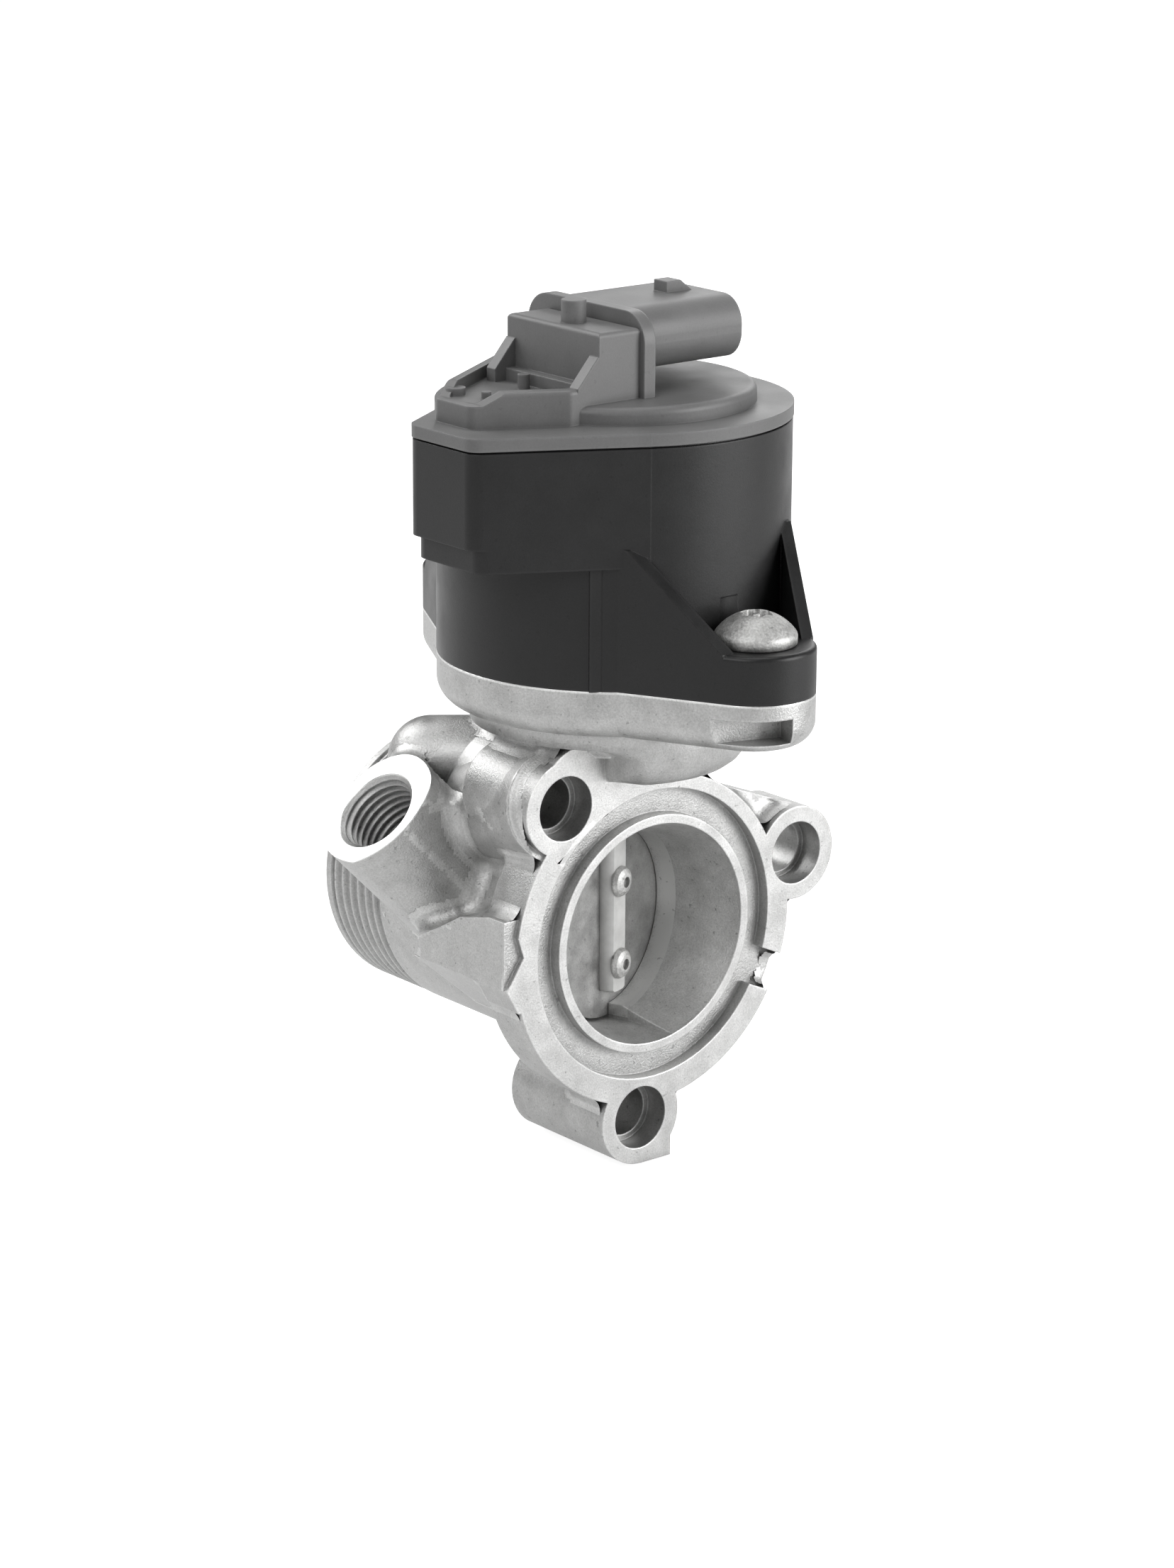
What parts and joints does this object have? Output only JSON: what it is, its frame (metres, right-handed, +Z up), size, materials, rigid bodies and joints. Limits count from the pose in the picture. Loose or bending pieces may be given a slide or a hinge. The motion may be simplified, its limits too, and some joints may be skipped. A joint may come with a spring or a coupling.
{
  "type": "EGR valve",
  "caption": "Exhaust gas recirculation valve: cast flanged gas passage with a round flap on an upright shaft, under a black round actuator housing with a grey cover and plug connector",
  "frame": {"origin": "centre line of the flap shaft where it crosses the centre line of the gas bore", "axes": "+Z up along the flap shaft, -Y out of the mounting flange, +Y towards the ribbed spigot, -X towards the gear box part of the actuator"},
  "size_m": [0.0833, 0.096, 0.1485],
  "materials": {
    "cast_aluminium": "cast",
    "steel": "machined",
    "zinc_steel": "zinc plated",
    "bronze": "sintered",
    "rubber": "matt",
    "black_plastic": "moulded",
    "grey_plastic": "moulded",
    "gear_plastic": "moulded",
    "magnet": "sintered",
    "tin_pins": "plated",
    "board_green": "lacquered",
    "chip_black": "moulded"
  },
  "bodies": {
    "housing": {"valve_housing": "cast_aluminium", "lower_bush": "bronze", "upper_bush": "bronze", "shaft_seal": "rubber", "actuator_housing": "black_plastic", "screw_sleeves": "steel", "actuator_screws": "zinc_steel", "base_seal": "rubber", "cover_seal": "rubber", "actuator_cover": "grey_plastic", "connector_pins": "tin_pins", "gear_pin": "steel", "gear_plate": "steel", "return_spring": "steel", "motor_can": "steel", "motor_end_cap": "black_plastic", "motor_bush": "bronze", "motor_magnets": "magnet", "circuit_board": "board_green", "board_parts": "chip_black", "motor_leads": "bronze"},
    "flap": {"flap_shaft": "steel", "flap_plate": "steel", "flap_screws": "steel", "output_gear": "gear_plastic", "sensor_magnet": "magnet"},
    "intermediate": {"intermediate_gear": "gear_plastic"},
    "rotor": {"motor_armature": "steel", "motor_shaft": "steel", "motor_pinion": "bronze"}
  },
  "joints": [
    {"name": "flap_turn", "type": "hinge", "parent": "housing", "child": "flap", "pos_m": [0, 0, 0], "axis": [0, 0, 1], "range_deg": [0, 72], "stiffness_Nm_per_rad": 0.04, "springref_deg": -34.38},
    {"name": "intermediate_turn", "type": "hinge", "parent": "housing", "child": "intermediate", "pos_m": [-0.0271, -0.00439, 0.076], "axis": [0, 0, 1], "range_deg": [-294.5, 0.5]},
    {"name": "motor_turn", "type": "hinge", "parent": "housing", "child": "rotor", "pos_m": [-0.01525, -0.00247, 0.06], "axis": [0, 0, 1], "range_deg": [-0.5, 882.5]}
  ],
  "couplings": [
    {"joint": "intermediate_turn", "follows": "flap_turn", "ratio": -4.0833},
    {"joint": "motor_turn", "follows": "flap_turn", "ratio": 12.25}
  ]
}
